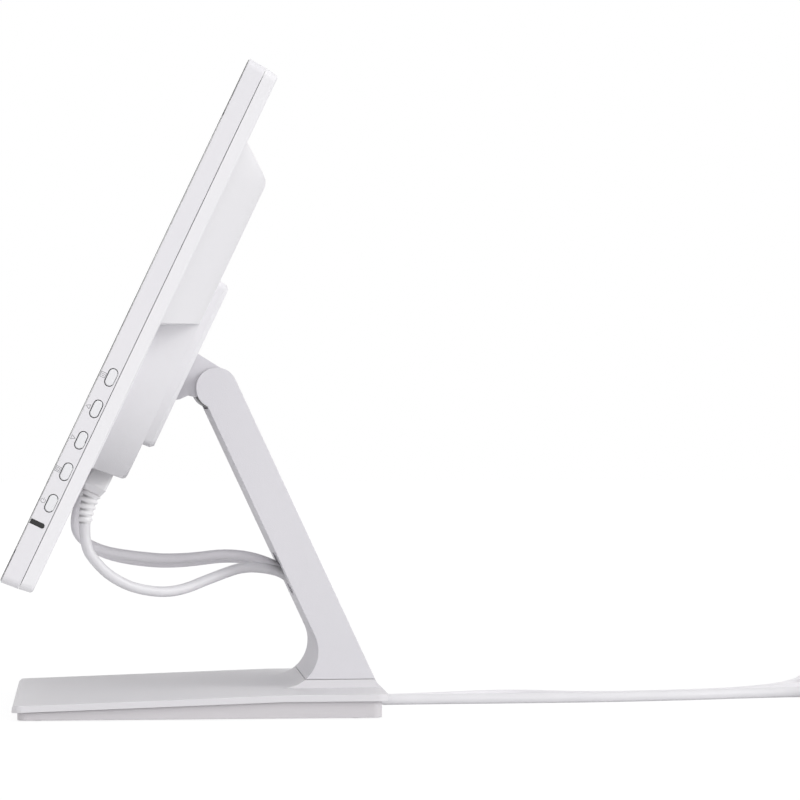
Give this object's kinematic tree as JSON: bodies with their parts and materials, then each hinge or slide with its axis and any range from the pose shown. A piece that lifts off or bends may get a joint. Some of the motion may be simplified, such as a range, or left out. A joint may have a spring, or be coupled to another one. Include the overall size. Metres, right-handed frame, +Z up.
{
  "type": "touchscreen monitor",
  "caption": "Wide flat touchscreen monitor tilted back on a leaning arm and a thin flat base, with side buttons and cords that run through the arm.",
  "frame": {"origin": "on the table, in the middle of the footprint of the monitor and its stand", "axes": "+Z up, -Y the way the screen faces, +X towards the side with the buttons"},
  "size_m": [0.566, 0.7468, 0.4038],
  "materials": {
    "screen_glass": "smooth clear cover glass",
    "black_tape": "black foam tape",
    "case_front": "light grey, fine moulded grain",
    "case_rear": "light grey, fine moulded grain",
    "dark_lens": "dark smoked plastic",
    "panel_glass": "polarised display glass",
    "film": "translucent film",
    "light_guide": "clear moulded sheet",
    "steel": "zinc coated sheet steel",
    "circuit_board": "green solder mask",
    "button": "light grey, fine moulded grain",
    "zinc_steel": "zinc plated",
    "black_plastic": "moulded black plastic",
    "stand_plastic": "light silver grey, satin",
    "base_plastic": "light silver grey, satin",
    "foot_rubber": "grey rubber",
    "plug_plastic": "light grey soft plastic",
    "cord_jacket": "light grey soft plastic",
    "brass": "bright pins"
  },
  "bodies": {
    "stand": {"arm_front_cover": "stand_plastic", "arm_rear_cover": "stand_plastic", "arm_core": "steel", "base_cover": "base_plastic", "base_plinth": "base_plastic", "base_weight": "steel", "base_screws": "zinc_steel", "core_screws": "zinc_steel", "rubber_feet": "foot_rubber", "hinge_shaft": "zinc_steel", "hinge_washers": "zinc_steel", "hinge_sleeves": "zinc_steel", "hinge_nuts": "zinc_steel", "power_cord_rear": "cord_jacket", "power_cord_coil": "cord_jacket", "video_cord_rear": "cord_jacket", "video_cord_coil": "cord_jacket", "usb_cord_rear": "cord_jacket", "usb_cord_coil": "cord_jacket", "mains_plug": "plug_plastic", "mains_pins": "brass", "video_end_plug": "plug_plastic", "video_end_nose": "zinc_steel", "usb_end_plug": "plug_plastic", "usb_end_nose": "zinc_steel"},
    "head": {"touch_glass": "screen_glass", "glass_tape": "black_tape", "front_frame": "case_front", "window_lens": "dark_lens", "panel_cell": "panel_glass", "optical_films": "film", "light_guide": "light_guide", "led_bar": "circuit_board", "panel_tray": "steel", "chassis_plate": "steel", "main_board": "circuit_board", "power_board": "circuit_board", "touch_board": "circuit_board", "button_board": "circuit_board", "rear_cover": "case_rear", "case_screws": "zinc_steel", "inlet_socket": "black_plastic", "video_socket": "black_plastic", "usb_socket": "black_plastic", "mount_bracket": "steel", "mount_screws": "zinc_steel", "mount_cover": "case_rear", "hinge_knuckle": "stand_plastic", "power_plug": "plug_plastic", "power_cord_front": "cord_jacket", "video_plug": "plug_plastic", "video_cord_front": "cord_jacket", "usb_plug": "plug_plastic", "usb_cord_front": "cord_jacket"},
    "button_1": {"button_1": "button"},
    "button_2": {"button_2": "button"},
    "button_3": {"button_3": "button"},
    "button_4": {"button_4": "button"},
    "button_5": {"button_5": "button"}
  },
  "joints": [
    {"name": "head_tilt", "type": "hinge", "parent": "stand", "child": "head", "pos_m": [0, 0.01283, 0.2121], "axis": [1, 0, 0], "range_deg": [-44.6, 30.4], "deforming": ["power_cord_front", "video_cord_front", "usb_cord_front"]},
    {"name": "button_1_press", "type": "slide", "parent": "head", "child": "button_1", "axis": [-1, 0, 0], "range_m": [0, 0.0008], "stiffness_N_per_m": 1200},
    {"name": "button_2_press", "type": "slide", "parent": "head", "child": "button_2", "axis": [-1, 0, 0], "range_m": [0, 0.0008], "stiffness_N_per_m": 1200},
    {"name": "button_3_press", "type": "slide", "parent": "head", "child": "button_3", "axis": [-1, 0, 0], "range_m": [0, 0.0008], "stiffness_N_per_m": 1200},
    {"name": "button_4_press", "type": "slide", "parent": "head", "child": "button_4", "axis": [-1, 0, 0], "range_m": [0, 0.0008], "stiffness_N_per_m": 1200},
    {"name": "button_5_press", "type": "slide", "parent": "head", "child": "button_5", "axis": [-1, 0, 0], "range_m": [0, 0.0008], "stiffness_N_per_m": 1200}
  ]
}
